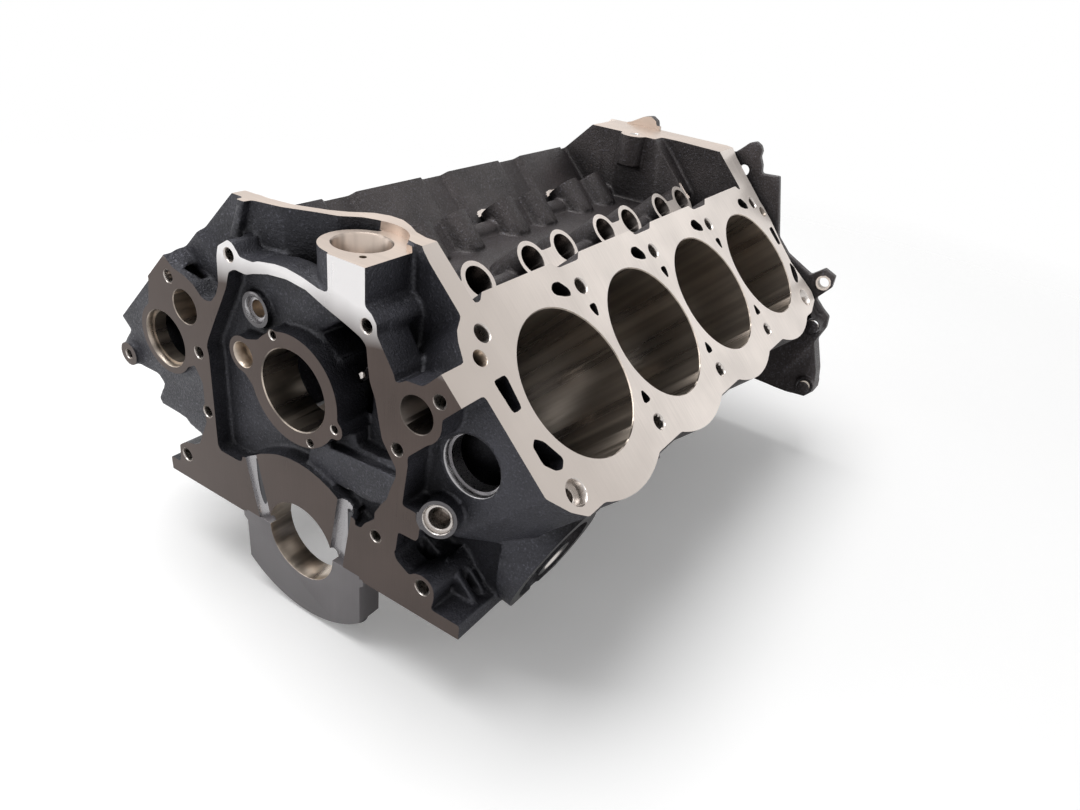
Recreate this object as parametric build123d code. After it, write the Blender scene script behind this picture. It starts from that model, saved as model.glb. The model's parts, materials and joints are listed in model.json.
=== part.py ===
"""V8 engine block: one grey-iron casting with its five main bearing caps and their bolts.

Millimetres. The origin is on the crankshaft axis at the machined front face.
+X is to the right seen from the front, +Y runs to the rear, +Z is up.
A bank coordinate is (y, v, h): y along the block, h square to the deck from the
crankshaft axis, and v across the deck, growing towards the valley.
"""
import os
from math import cos, hypot, radians, sin, sqrt, tan

from build123d import *

# Cylinders and banks
bore_spacing = 111.25
bore_radius = 50.8
bores_per_bank = 4
deck_height = 208.4
right_first_bore = 101.1
bank_lead = 21.2
barrel_wall = 5.4
barrel_foot = 76.0
skirt_relief = 2.0
skirt_relief_depth = 20.0

# Crankshaft and camshaft line
main_bore_radius = 31.0
cam_height = 121.5
cam_bore_radius = 28.0
cam_clear_radius = 29.5
web_thickness = 24.0

# Bank castings
deck_plate = 13.0
bank_outer = 69.5
bank_bulge_radius = 79.0
bank_inner = 70.5
bank_ahead = 80.8
bank_behind = 73.0
inner_pad_height = 4.8
inner_pad_half = 38.0
jacket_wall = 6.5
jacket_floor = 116.0
bank_foot = 98.0
skirt_high = 150.0
skirt_low = 104.0
skirt_low_v = 44.0

# Crankcase
rail_bottom = -3.0
rail_top = 8.6
rail_half = 142.0
case_half = 121.0
case_top_half = 108.0
case_top = 44.0
case_wall = 9.0
pan_hole_x = 131.5
rear_overhang = 90.15
seal_radius = 52.0

# Deck holes
head_bolt_v = 53.5
head_bolt_radius = 5.3
head_bolt_depth = 45.0
dowel_radius = 8.3
dowel_depth = 8.0

# Valley
lifter_radius = 11.1
lifter_boss_radius = 15.6
lifter_v = 91.4
lifter_top = 161.6
lifter_ahead = 23.4
lifter_behind = 21.2
valley_floor = 162.0
gallery_x = 42.0
gallery_tube_radius = 9.0
gallery_radius = 5.0
rail_plane = 226.5

# Front end
front_plate = 19.5
cavity_depth = 13.0
timing_case_half = 92.0
front_wall = 25.0
cam_plate_radius = 39.0
distributor_x = 32.5
distributor_y = 28.5
distributor_radius = 17.0
distributor_top = 221.0
gear_pocket_depth = 44.0
lower_boss_top = 134.0
tower_right = 62.0
core_plug_radius = 20.5
core_ring_radius = 26.0
core_plug_depth = 14.0
port_thread_radius = 4.0
cast_step = 3.5
filter_pad_radius = 42.5

# Main caps
cap_half = 56.5
cap_ear_half = 60.0
front_cap_depth = 65.0
front_cap_curve = 85.0
cap_depth = 58.0
cap_bolt_x = 44.5
cap_bolt_radius = 6.35
cap_bolt_reach = 46.0
cap_bolt_head_flats = 19.0
cap_bolt_head_height = 10.0
front_bolt_radius = 5.5
front_bolt_head_radius = 8.0
front_bolt_head_height = 11.0
front_bolt_seat = 40.0
front_bolt_socket = 8.0
cap_clearance = 0.05
cap_relief = 1.0

# Rear flange
bell_thick = 18.0
bell_upper_thick = 6.7
bell_hole_radius = 5.5
bell_drop = 8.0

root2 = sqrt(2)
right_last_bore = right_first_bore + (bores_per_bank - 1) * bore_spacing
rear_end = right_last_bore + rear_overhang
rail_rear = rear_end - 4.0
barrel_radius = bore_radius + barrel_wall
web_one_centre = right_first_bore - bank_lead / 2 - bore_spacing / 2
web_centres = [web_one_centre + k * bore_spacing for k in range(1, bores_per_bank + 1)]
bore_ys = [right_first_bore + k * bore_spacing for k in range(bores_per_bank)]
bolt_column_ys = [right_first_bore + (k - 0.5) * bore_spacing for k in range(bores_per_bank + 1)]


def fuse(shapes):
    """Join a list of solids in one operation."""
    first, *rest = shapes
    return first.fuse(*rest) if rest else first


def bank_plane(h):
    """Plane square to the right bank's bores at height h: x along the block, y towards the valley."""
    return Plane(origin=(h / root2, 0, h / root2), x_dir=(0, 1, 0), z_dir=(1, 0, 1))


def bank_prism(sketch, low, high):
    """Solid of a sketch in (y, v), from height low to height high over the crankshaft axis."""
    return extrude(bank_plane(low) * sketch, amount=high - low, dir=(1, 0, 1))


def bank_hole(y, v, radius, low, high):
    """Round solid square to the right deck, for a hole or a boss."""
    return bank_prism(Pos(y, v) * Circle(radius), low, high)


def front_prism(sketch, start, end):
    """Solid of a sketch in (x, z), from y = start to y = end."""
    plane = Plane(origin=(0, end, 0), x_dir=(1, 0, 0), z_dir=(0, -1, 0))
    return extrude(plane * sketch, amount=end - start, dir=(0, -1, 0))


def front_hole(x, z, radius, start, end):
    """Round solid along Y."""
    return front_prism(Pos(x, z) * Circle(radius), start, end)


def plan_prism(sketch, low, high):
    """Solid of a sketch in (x, y), from z = low to z = high."""
    return extrude(Pos(0, 0, low) * sketch, amount=high - low, dir=(0, 0, 1))


def upright(x, y, radius, low, high):
    """Round solid along Z."""
    return plan_prism(Pos(x, y) * Circle(radius), low, high)


def hexagon(x, y, flats, low, high):
    """Hexagonal solid along Z, by its width across flats."""
    return plan_prism(Pos(x, y) * RegularPolygon(flats / 2, 6, major_radius=False), low, high)


def outline(points):
    """Face of a closed outline of straight sides, listed either way round."""
    following = points[1:] + points[:1]
    turn = sum(a[0] * b[1] - b[0] * a[1] for a, b in zip(points, following))
    return Polygon(*(points if turn > 0 else points[::-1]), align=None)


def to_left(solid):
    """Left-bank copy of a right-bank solid: mirrored, and further forward by the lead."""
    return Pos(0, -bank_lead, 0) * solid.mirror(Plane.YZ)


def both_banks(solids):
    """Right-bank solids with their left-bank copies."""
    return solids + [to_left(solid) for solid in solids]


def bank_outline(shrink=0.0):
    """Deck outline of the right bank, bulged round each bore on the outer side."""
    front = right_first_bore - bank_ahead + shrink
    rear = right_last_bore + bank_behind - shrink
    outer = -bank_outer + shrink
    inner = bank_inner - shrink
    base = outline([
        (front, -45), (front + 12.2, -60.5), (front + 24, outer), (rear - 20, outer), (rear + 2, -62),
        (rear + 6, -53), (rear + 3, -41), (rear - 4, -18), (rear - 2, 6), (rear + 3, 29), (rear + 3, 47),
        (rear, 56), (rear, inner),
        (front + 20, inner), (front + 15, min(inner, 66)), (front + 8, 61), (front + 4, 55), (front, 45),
    ])
    lobes = [Pos(y, 0) * Circle(bank_bulge_radius - shrink) for y in bore_ys]
    strip = outline([(front + 24, outer - 20), (rear - 24, outer - 20), (rear - 24, 0), (front + 24, 0)])
    return base + [lobe & strip for lobe in lobes]


def inner_pads():
    """Raised pads of the deck's valley edge, one beside each bore."""
    low, high = bank_inner - 1, bank_inner + inner_pad_height
    return [
        outline([
            (y - inner_pad_half - 6, low), (y + inner_pad_half + 6, low),
            (y + inner_pad_half, high), (y - inner_pad_half, high),
        ])
        for y in bore_ys
    ]


def skirt_cut(shrink=0.0):
    """Long wedge that slopes the outer foot of the right bank inwards."""
    reach = 60
    high = skirt_high + 1.4 * shrink
    low_v = -skirt_low_v + 1.2 * shrink
    wedge = [
        (-bank_bulge_radius - reach, high), (-bank_outer - 1.5 + shrink, high),
        (low_v, skirt_low), (low_v, 0), (-bank_bulge_radius - reach, 0),
    ]
    points = [((h - v) / root2, (h + v) / root2) for v, h in wedge]
    return front_prism(outline(points), -50, rear_end + 50)


def bank_body():
    """Right bank as a solid form, with its barrels reaching down into the crankcase."""
    body = bank_prism(bank_outline(), bank_foot, deck_height)
    pads = [bank_prism(pad, bank_foot + 20, deck_height) for pad in inner_pads()]
    body = fuse([body] + pads) - skirt_cut()
    tongue = bank_prism(
        outline([(0, 22), (right_first_bore, 22), (right_first_bore, 43), (0, 43)]),
        deck_height - 22, deck_height,
    )
    barrels = [bank_hole(y, 0, barrel_radius, barrel_foot, deck_height - 1) for y in bore_ys]
    return body, tongue, barrels


def jacket_void():
    """Water space of the right bank, round its barrels."""
    void = bank_prism(bank_outline(jacket_wall), jacket_floor, deck_height - deck_plate)
    void -= skirt_cut(jacket_wall)
    void -= Pos(0, 0, 100) * Box(2 * timing_case_half, 2 * (gear_pocket_depth + bank_lead + jacket_wall), 300)
    barrels = [bank_hole(y, 0, barrel_radius, jacket_floor - 5, deck_height) for y in bore_ys]
    columns = [
        bank_prism(Pos(y, v) * Rectangle(20, 20), jacket_floor - 5, deck_height)
        for y in bolt_column_ys for v in (-head_bolt_v, head_bolt_v)
    ]
    return void - fuse(barrels) - fuse(columns)


def deck_slots():
    """Coolant openings through the right deck plate."""
    front = bolt_column_ys[0] - 46.0
    rear = bolt_column_ys[-1] - 490.95
    end_slots = [
        [(front + 33, 26.5), (front + 45, 26.5), (front + 42.5, 4.6), (front + 34, 4.6)],
        [(front + 33.5, -17), (front + 38, -13.5), (front + 44, -18), (front + 51.5, -33),
         (front + 46, -38), (front + 40, -36), (front + 33.5, -29)],
        [(rear + 496.4, 24), (rear + 505.5, 24), (rear + 504, 4.6), (rear + 497, 4.6)],
        [(rear + 500, -15), (rear + 505.5, -23), (rear + 502, -32), (rear + 494.5, -37.7),
         (rear + 489, -36), (rear + 491, -28.6)],
    ]
    slots = [outline(points) for points in end_slots]
    for y in bore_ys:
        slots.append(outline([
            (y + 23, 59), (y + 28, 63), (y + 35, 62.5), (y + 41.5, 55), (y + 40.5, 50), (y + 33, 51.5),
            (y + 25, 55),
        ]))
    for y in bolt_column_ys[1:-1]:
        slots.append(outline([(y - 5, 39.5), (y + 5, 39.5), (y + 1, 29), (y - 1, 29)]))
        slots.append(outline([(y - 5.5, -38), (y + 5.5, -38), (y + 1, -28), (y - 1, -28)]))
    return [bank_prism(slot, deck_height - deck_plate - 2, deck_height + 2) for slot in slots]


def deck_holes():
    """Head bolt holes, dowel counterbores and the two oil holes of the right deck."""
    top = deck_height + 2
    holes = [
        bank_hole(y, v, head_bolt_radius, deck_height - head_bolt_depth, top)
        for y in bolt_column_ys for v in (-head_bolt_v, head_bolt_v)
    ]
    for y in (bolt_column_ys[0], bolt_column_ys[-1]):
        holes.append(bank_hole(y, -head_bolt_v, dowel_radius, deck_height - dowel_depth, top))
    for y in (bolt_column_ys[0] - 12.5, bolt_column_ys[-1] + 11.8):
        holes.append(bank_hole(y, 41.3, 5.0, deck_height - 25, top))
    return holes


def cylinder_bores():
    """The four bores of the right bank, and the wider cuts that clear the piston skirts below them."""
    bores = [bank_hole(y, 0, bore_radius, barrel_foot, deck_height + 5) for y in bore_ys]
    relief_foot = barrel_foot - skirt_relief_depth
    reliefs = [bank_hole(y, 0, bore_radius + skirt_relief, relief_foot, barrel_foot) for y in bore_ys]
    return bores + reliefs


def lifter_ys():
    """Lifter positions along the right bank, two beside each bore."""
    return [y + step for y in bore_ys for step in (-lifter_ahead, lifter_behind)]


def lifter_bosses():
    """Lifter bosses of the right bank and the web that joins each pair."""
    v = lifter_v
    low = v + 36
    bosses = [bank_hole(y, v, lifter_boss_radius, low, lifter_top) for y in lifter_ys()]
    for y in bore_ys:
        ahead, behind = y - lifter_ahead, y + lifter_behind
        web = outline([
            (ahead, v - lifter_boss_radius), (behind, v - lifter_boss_radius),
            (behind, v + 4), (ahead, v + 4),
        ])
        bosses.append(bank_prism(web, low, lifter_top))
    return bosses


def lifter_bores():
    """Lifter bores of the right bank, open to the cam tunnel."""
    low = cam_height / root2 + 8
    return [bank_hole(y, lifter_v, lifter_radius, low, lifter_top + 30) for y in lifter_ys()]


def galleries():
    """Oil gallery tubes along both sides of the valley, and their drilled bores."""
    end = rail_rear - 30
    tubes = [front_hole(x, valley_floor, gallery_tube_radius, 50, end) for x in (-gallery_x, gallery_x)]
    drilled = [
        front_hole(x, valley_floor, gallery_radius, end + 15, rear_end + 5) for x in (-gallery_x, gallery_x)
    ]
    return tubes, drilled


def core_plug_sides():
    """Core-plug bosses and bores on the outer wall of the right bank, between its bores."""
    height = 168.0
    bosses, bores = [], []
    for y in bolt_column_ys[1:-1]:
        plane = Plane(
            origin=((height + 52) / root2, y, (height - 52) / root2), x_dir=(0, 1, 0), z_dir=(1, 0, -1),
        )
        bosses.append(extrude(plane * Circle(core_ring_radius), amount=bank_outer - 52 + 3.5))
        bores.append(extrude(plane * Circle(core_plug_radius), amount=40))
    return bosses, bores


def valley_walls():
    """Front and rear end walls of the valley, with their machined top rails."""
    front_rail = outline([
        (-100, 19.5), (-50, 20), (-30, 25), (-10, 35), (2, 40), (12, 50), (22, 54), (34, 54), (44, 47),
        (56, 41), (75, 37), (110, 37), (110, 53.5), (75, 52), (60, 52), (50, 55), (40, 61.5), (30, 66),
        (20, 66), (10, 62), (0, 51), (-10, 43.5), (-30, 34), (-50, 30.5), (-100, 29.5),
    ])
    rear_rail = outline([
        (-100, rail_rear - 55), (-33, rail_rear - 52), (-5, rail_rear - 37), (20, rail_rear - 35),
        (70, rail_rear - 40), (110, rail_rear - 40), (110, rail_rear - 11), (75, rail_rear - 9),
        (60, rail_rear), (-100, rail_rear),
    ])
    low = valley_floor - 30
    walls = [plan_prism(front_rail, low, rail_plane), plan_prism(rear_rail, low, rail_plane)]
    boss = upright(-20, rail_rear - 53, 13, rail_plane - 30, rail_plane)
    buttress = front_prism(
        outline([(-34, rail_plane), (3, rail_plane), (47, 182), (58, low), (-37, low)]),
        rail_rear - 53, rail_rear - 30,
    )
    rib = front_prism(outline([(-69, 199), (-62, 199), (-50, rail_plane), (-57, rail_plane)]), 14, 31)
    return walls + [boss, buttress, rib]


def over_decks(drop=0.0):
    """Everything above the two deck planes, or above planes a little lower, to trim the end walls."""
    far = 400
    top = root2 * (deck_height - drop)
    right = [(top - far, far), (top + far, -far), (far * 2, far)]
    blade = front_prism(outline(right), -100, rear_end + 100)
    return blade.fuse(blade.mirror(Plane.YZ))


def crankcase_body():
    """Lower half as a solid form: pan rails, side walls and the valley floor."""
    half = [
        (rail_half, rail_bottom), (rail_half, rail_top), (case_half, rail_top), (case_half, 20),
        (case_top_half, case_top), (80, 126), (50, valley_floor),
    ]
    outer = outline(half + [(-x, z) for x, z in reversed(half)])
    return front_prism(outer, front_wall, rear_end - 1)


def crankcase_bays():
    """Hollows between the bearing webs, and the cam tunnel between them."""
    foot = barrel_foot * root2
    corner = (barrel_foot + barrel_radius + 1.4) / root2
    inside = case_half - case_wall
    half = [
        (inside, rail_bottom - 5), (inside, 15), (corner, foot - corner), (foot - corner, corner),
        (foot - corner, corner + 8),
    ]
    bay = outline(half + [(-x, z) for x, z in reversed(half)])
    narrow = outline([(-74, rail_bottom - 5), (74, rail_bottom - 5), (74, foot - 74), (foot - corner, corner),
                      (foot - corner, corner + 8), (corner - foot, corner + 8), (corner - foot, corner),
                      (-74, foot - 74)])
    starts = [48.0] + [y + web_thickness / 2 for y in web_centres[:-1]]
    ends = [y - web_thickness / 2 for y in web_centres]
    hollows = [front_prism(narrow, front_plate, 50.0)]
    for start, end in zip(starts, ends):
        hollows.append(front_prism(bay, start, end))
    for start, end in zip([30.0] + starts[1:], ends):
        hollows.append(front_hole(0, cam_height, cam_clear_radius, start, end))
    return hollows


def upper_left_edge():
    """Edge of the front flange between the timing case and the left deck."""
    return [
        (-62, 192), (-63, 173.6), (-66.4, 165.7), (-72, 159.3), (-78, 158), (-82, 159.3), (-89, 165.7),
        (-98, 169.3), (-109, 171.4), (-117, 177.7),
    ]


def front_flange():
    """Machined front flange: the timing case edge, the water outlets and the pan corners."""
    right = [
        (rail_half, rail_bottom), (rail_half, rail_top), (118.6, rail_top), (120.7, 18.6), (120, 24),
        (117, 30), (110, 32.4), (104, 30.7), (100, 27), (90, 33), (80.7, 41.4), (79.3, 56.4),
        (104.3, 57), (106.4, 61.4), (106.4, 75.7), (104.3, 78.6), (90, 78.6), (90, 84), (95, 101),
        (95.7, 115.7), (104, 124), (114, 134), (119.3, 144), (119.3, 151), (123, 155.7), (131.8, 162.9),
        (117, 177.7), (108.6, 168.6), (104, 165.7), (93, 165), (87, 161), (83, 154), (78, 152),
        (74, 155), (72, 161), (70.7, 191), (67, 196), (tower_right, 199), (tower_right, distributor_top),
        (39.3, distributor_top), (39.3, 196), (26, 198.3), (13, 201.4), (0, 203), (-9, 202.6), (-24, 200),
        (-31, 197), (-39, 195.5), (-41.5, 200), (-46, 205), (-50.4, 206.2), (-56, 204.5), (-60, 199.5),
    ]
    right += upper_left_edge() + [
        (-172, 122.7), (-150, 104), (-150, 88), (-128, 87),
        (-104, 100), (-93, 96), (-91.4, 80), (-97, 76), (-98, 66), (-91, 58), (-95, 46), (-102, 39),
        (-109, 33.6), (-120, 31), (-128.6, 25), (-129.3, 16.4), (-131, rail_top), (-rail_half, rail_top),
        (-rail_half, rail_bottom),
    ]
    return outline(right)


def timing_cavity():
    """Inside outline of the timing case."""
    return outline([
        (-46, 188.6), (-36, 188), (-29, 190.7), (-16, 194.3), (0, 196), (16, 194.3), (31, 188.6),
        (47, 183.6), (58.6, 179.3), (63, 175.7), (64.3, 163), (65.7, 154), (70, 144), (73, 130),
        (75.7, 118.6), (83, 108.6), (87, 103), (87, 97), (83, 87), (80, 77), (75.7, 71.4), (70, 61.4),
        (70, 56.4), (61.4, 48.6), (58.6, 43.6), (53, 42), (48.6, 45.7), (41.4, 53), (33, 59), (18.6, 64.3),
        (0, 68), (-18, 65.7), (-34, 59.3), (-43.6, 53.6), (-52, 45.7), (-59.3, 41.4), (-79.3, 41.4),
        (-82, 45), (-81.4, 78), (-80.7, 118), (-82, 123.6), (-80, 129), (-70.7, 146.4), (-62, 162),
        (-55.7, 173.6), (-52, 185),
    ])


def front_end():
    """Front plate with its timing case recess, before the shared holes are cut."""
    flange = front_prism(front_flange(), 0, front_plate)
    back_wall = front_prism(
        outline([(-92, 40), (88, 40), (96, 110), (84, 165), (62, 198), (-60, 198), (-92, 160)]),
        0, front_wall + 1,
    )
    side_wall = front_prism(
        outline([(50, 150), (68, 150), (70.7, 161), (70.7, 191), (67, 196), (50, 198)]), 0, 50)
    right_pocket = front_prism(
        outline([(80, 56), (146, 56), (146, 9), (121, 9), (121, 26), (100, 33), (84, 44)]), 8, 40)
    bulge = front_hole(62, 187, 10, 12, 50)
    return [flange, back_wall, side_wall, bulge], right_pocket


def gear_pocket():
    """Deep pocket right of the camshaft plate, open to the distributor gear, and the gear's lower bearing."""
    near = outline([
        (12, 162), (30, 176), (60, 174), (61, 160), (63, 150), (67, 140), (70, 128), (72.5, 117), (79, 107),
        (79, 97), (60, 93), (42, 93), (40, 110), (40, 135), (30, 150),
    ])
    deep = outline([
        (12, 162), (30, 176), (60, 174), (57, 160), (51, 148), (45, 138), (43, 93), (38, 110), (30, 150),
    ])
    boss = upright(28, 27, 11, 100, lower_boss_top)
    hole = upright(28, 27, 5.5, lower_boss_top - 22, lower_boss_top + 2)
    return [front_prism(near, -2, front_wall - 0.5), front_prism(deep, 5, gear_pocket_depth)], boss, hole


def left_front():
    """Cast steps in the end of the left bank, and the boss, web and flare at its outer edge."""
    face = [
        (-240, 60), (-165, 40), (-104, 36), (-92, 60), (-91, 92), (-98, 104), (-104, 100), (-128, 98),
        (-145, 122), (-137, 157.7),
    ]
    ring = front_hole(-127.6, 113.6, core_ring_radius, -5, 60)
    step = front_prism(outline(face), -2, cast_step) - ring
    upper = front_prism(
        outline(upper_left_edge() + [(-80, 222), (-50, 222), (-50, 206), (-60, 199.5)]), -2, 15,
    )
    boss = front_hole(-177, 84, 9, 0, 22)
    web = front_prism(
        outline([(-186, 90), (-168, 112), (-140, 100), (-139, 77), (-166, 76), (-183, 78)]), cast_step, 20,
    )
    flare = front_prism(
        outline([(-139, 77), (-152, 55), (-149, 50.5), (-119, 49.5), (-107, 44), (-95, 60)]), cast_step, 30,
    )
    hole = front_hole(-177, 84, 3.5, -2, 12)
    return [step, upper], [boss, web, flare], hole


def cam_plate():
    """Cam bearing face inside the timing case, with the two oil gallery bosses."""
    pieces = [
        front_hole(0, cam_height, cam_plate_radius, 0, front_wall),
        front_hole(36, 108.5, 7, 0, front_wall),
        front_hole(-45, 131, 13, 0, front_wall),
        front_hole(-28.6 - 11.5, 170 - 8.5, 12, 8, front_wall),
        front_prism(outline([(-45, 118), (-20, 95), (-20, 150), (-52, 140)]), 0, front_wall),
        front_prism(outline([(4, 64), (10, 88), (88, 92), (88, 70), (60, 62)]), 5, front_wall),
    ]
    return pieces


def distributor_tower():
    """Distributor pad, with its square right side, standing on the front plate."""
    pad = Pos(distributor_x + 1, distributor_y - 1.5) * Circle(25) + Pos(48, 23.5) * Rectangle(28, 47)
    tower = plan_prism(pad, 150, distributor_top)
    lower = plan_prism(Pos(distributor_x, distributor_y) * Circle(22), 128, 152)
    return [tower, lower]


def water_outlets():
    """Coolant outlet bosses behind the front flange, one for each bank."""
    right = front_hole(101, 146, 18.5, 0, 30)
    left = front_hole(-101, 146, 18.5, 0, 30)
    return [right, left]


def core_plug_fronts():
    """Core-plug rings on the front wall of each bank, and their bores."""
    right_face = bank_lead - 1.2
    rings = [
        front_hole(127.6, 113.6, core_ring_radius, right_face, right_face + 20),
        front_hole(-127.6, 113.6, core_ring_radius, 0, 20),
    ]
    bores = [
        front_hole(127.6, 113.6, core_plug_radius, right_face - 2, right_face + core_plug_depth),
        front_hole(-127.6, 113.6, core_plug_radius, -2, core_plug_depth),
    ]
    return rings, bores


def filter_mount():
    """Oil filter pad low on the right side, facing out and a little down."""
    normal = Vector(0.93, -0.01, -0.36).normalized()
    centre = Vector(163, 74, 28)
    depth = 66
    plane = Plane(origin=centre - normal * depth, x_dir=(0, 1, 0), z_dir=normal)
    boss = extrude(plane * Circle(filter_pad_radius + depth * tan(radians(7.0))), amount=depth, taper=7.0)
    face = Plane(origin=centre, x_dir=(0, 1, 0), z_dir=normal)
    groove = extrude(face * (Circle(filter_pad_radius - 9) - Circle(15)), amount=-7)
    hole = extrude(face * Circle(9), amount=-40)
    return boss, [groove, hole]


def sender_port():
    """Oil pressure port on the right of the front plate."""
    normal = Vector(0.30, -0.93, 0.20).normalized()
    centre = Vector(116.5, 5, 77)
    plane = Plane(origin=centre - normal * 44, x_dir=(0, 0, 1), z_dir=normal)
    boss = extrude(plane * Circle(12.5), amount=44)
    seat = Plane(origin=centre, x_dir=(0, 0, 1), z_dir=normal)
    holes = [extrude(seat * Circle(9.3), amount=-2.5), extrude(seat * Circle(7.2), amount=-24)]
    return boss, holes


def pan_corner():
    """Bolt boss and ribs in the open corner behind the right of the front plate, and the rails' front ends."""
    boss = front_hole(111, 22.5, 9.5, 0, 45)
    ribs = [
        front_prism(outline([(112, 8), (138, 8), (112, 34)]), y, y + 5) for y in (22, 33)
    ]
    floor = front_prism(outline([(76, rail_bottom), (rail_half, rail_bottom), (rail_half, rail_top),
                                 (76, rail_top)]), 0, 50)
    wall = front_prism(outline([(74, rail_bottom), (90, rail_bottom), (90, 30), (80, 60), (74, 60)]), 0, 50)
    left_floor = floor.mirror(Plane.YZ)
    return [boss, floor, left_floor, wall] + ribs


def bell_flange():
    """Rear flange for the gearbox housing: low part, the part behind the decks, and bolt holes."""
    half = [
        (149, 0), (189, -2), (211, 0), (219, 9), (215, 31), (204, 61), (209, 75), (208, 87), (200, 93),
        (190, 102), (202, 117), (202, 129), (190, 134), (178, 124), (150, 138), (136, 151.5), (120.7, 209.2),
    ]
    right = outline([(0, 40)] + half + [
        (102, 208), (101, 215.6), (96.7, 223.5), (97.7, 228.5), (95, 233.5), (89, 236.4), (83, 234),
        (77, 228), (70, 222), (0, 222),
    ])
    left = outline([(0, 40)] + [(-x, z) for x, z in half[:-1]] + [
        (-112, 176), (-70, 222), (-50, 228.5), (-35, 236.5), (-27, 238.2), (-20.5, 234.5), (-19, 229),
        (-16, 222), (0, 222),
    ])
    foot = outline([(-rail_half, rail_bottom), (rail_half, rail_bottom), (rail_half, 44), (-rail_half, 44)])
    upper = front_prism(right + left + foot, rear_end - bell_upper_thick, rear_end)
    lower = front_prism(right + left + foot, rear_end - bell_thick, rear_end) - over_decks(bell_drop)
    places = [(193, 120), (199, 80), (209, 14)]
    places += [(-x, z) for x, z in places]
    bosses = [
        front_hole(x, z, 9.5, rear_end - bell_thick - 6, rear_end) - over_decks(bell_drop) for x, z in places
    ]
    holes = [front_hole(x, z, bell_hole_radius, rear_end - 60, rear_end + 5) for x, z in places]
    holes += [
        front_hole(x, z, bell_hole_radius, rear_end - bell_upper_thick - 1, rear_end + 5)
        for x, z in ((84, 207.5), (-84, 191))
    ]
    return [upper], [lower] + bosses, holes


def front_holes():
    """Tapped and plain holes of the front face."""
    tapped = [
        (62.9, 187.5), (117, 161), (87.5, 117), (71, 43), (-50.4, 196.4), (-115, 163.6), (-91.4, 116),
        (-89.3, 70),
    ]
    holes = [front_hole(x, z, port_thread_radius, -2, 18) for x, z in tapped]
    holes += [front_hole(111, 22.5, 5.5, -2, 30), front_hole(-120.7, 19.3, 5, -2, 30)]
    holes += [front_hole(x, 146, 12, -2, 40) for x in (-101, 101)]
    holes += [front_hole(x, z, 3, -2, 14) for x, z in ((36, 108.5), (14, 89), (-15.5, 155))]
    holes += [front_hole(-45, 131, 8.5, -2, 11), front_hole(-45, 131, 5, -2, 60)]
    holes += [front_hole(-40.1, 161.5, 8, 5, 16)]
    return holes


def oil_grooves():
    """Two half-round grooves down the front bearing web."""
    grooves = []
    for top, foot in (((-46.5, 52), (-35, -1)), ((43.5, 52), (34, -1))):
        run = hypot(foot[0] - top[0], foot[1] - top[1])
        direction = Vector((foot[0] - top[0]) / run, 0, (foot[1] - top[1]) / run)
        start = Vector(top[0], 0, top[1]) - direction * 12
        plane = Plane(origin=start, x_dir=(0, 1, 0), z_dir=direction)
        grooves.append(extrude(plane * Circle(6.5), amount=run + 14))
    return grooves


def cap_bolt_holes():
    """Tapped holes of the bearing webs, a bolt radius wide, above each cap seat."""
    rows = [(front_plate / 2, front_bolt_radius)] + [(y, cap_bolt_radius) for y in web_centres]
    return [
        upright(x, y, radius, -4, cap_bolt_reach + 4) for y, radius in rows for x in (-cap_bolt_x, cap_bolt_x)
    ]


def pan_holes():
    """Tapped holes along both pan rails."""
    count = 6
    pitch = (rear_end - 70) / (count - 1)
    return [
        upright(x, 22 + k * pitch, 3.2, rail_bottom - 5, rail_bottom + 10)
        for k in range(count) for x in (-pan_hole_x, pan_hole_x)
    ]


def rear_opening():
    """Opening for the crankshaft flange and seal behind the rear bearing."""
    behind = web_centres[-1] + web_thickness / 2
    return [front_hole(0, 0, seal_radius, behind, rear_end + 5)]


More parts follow.
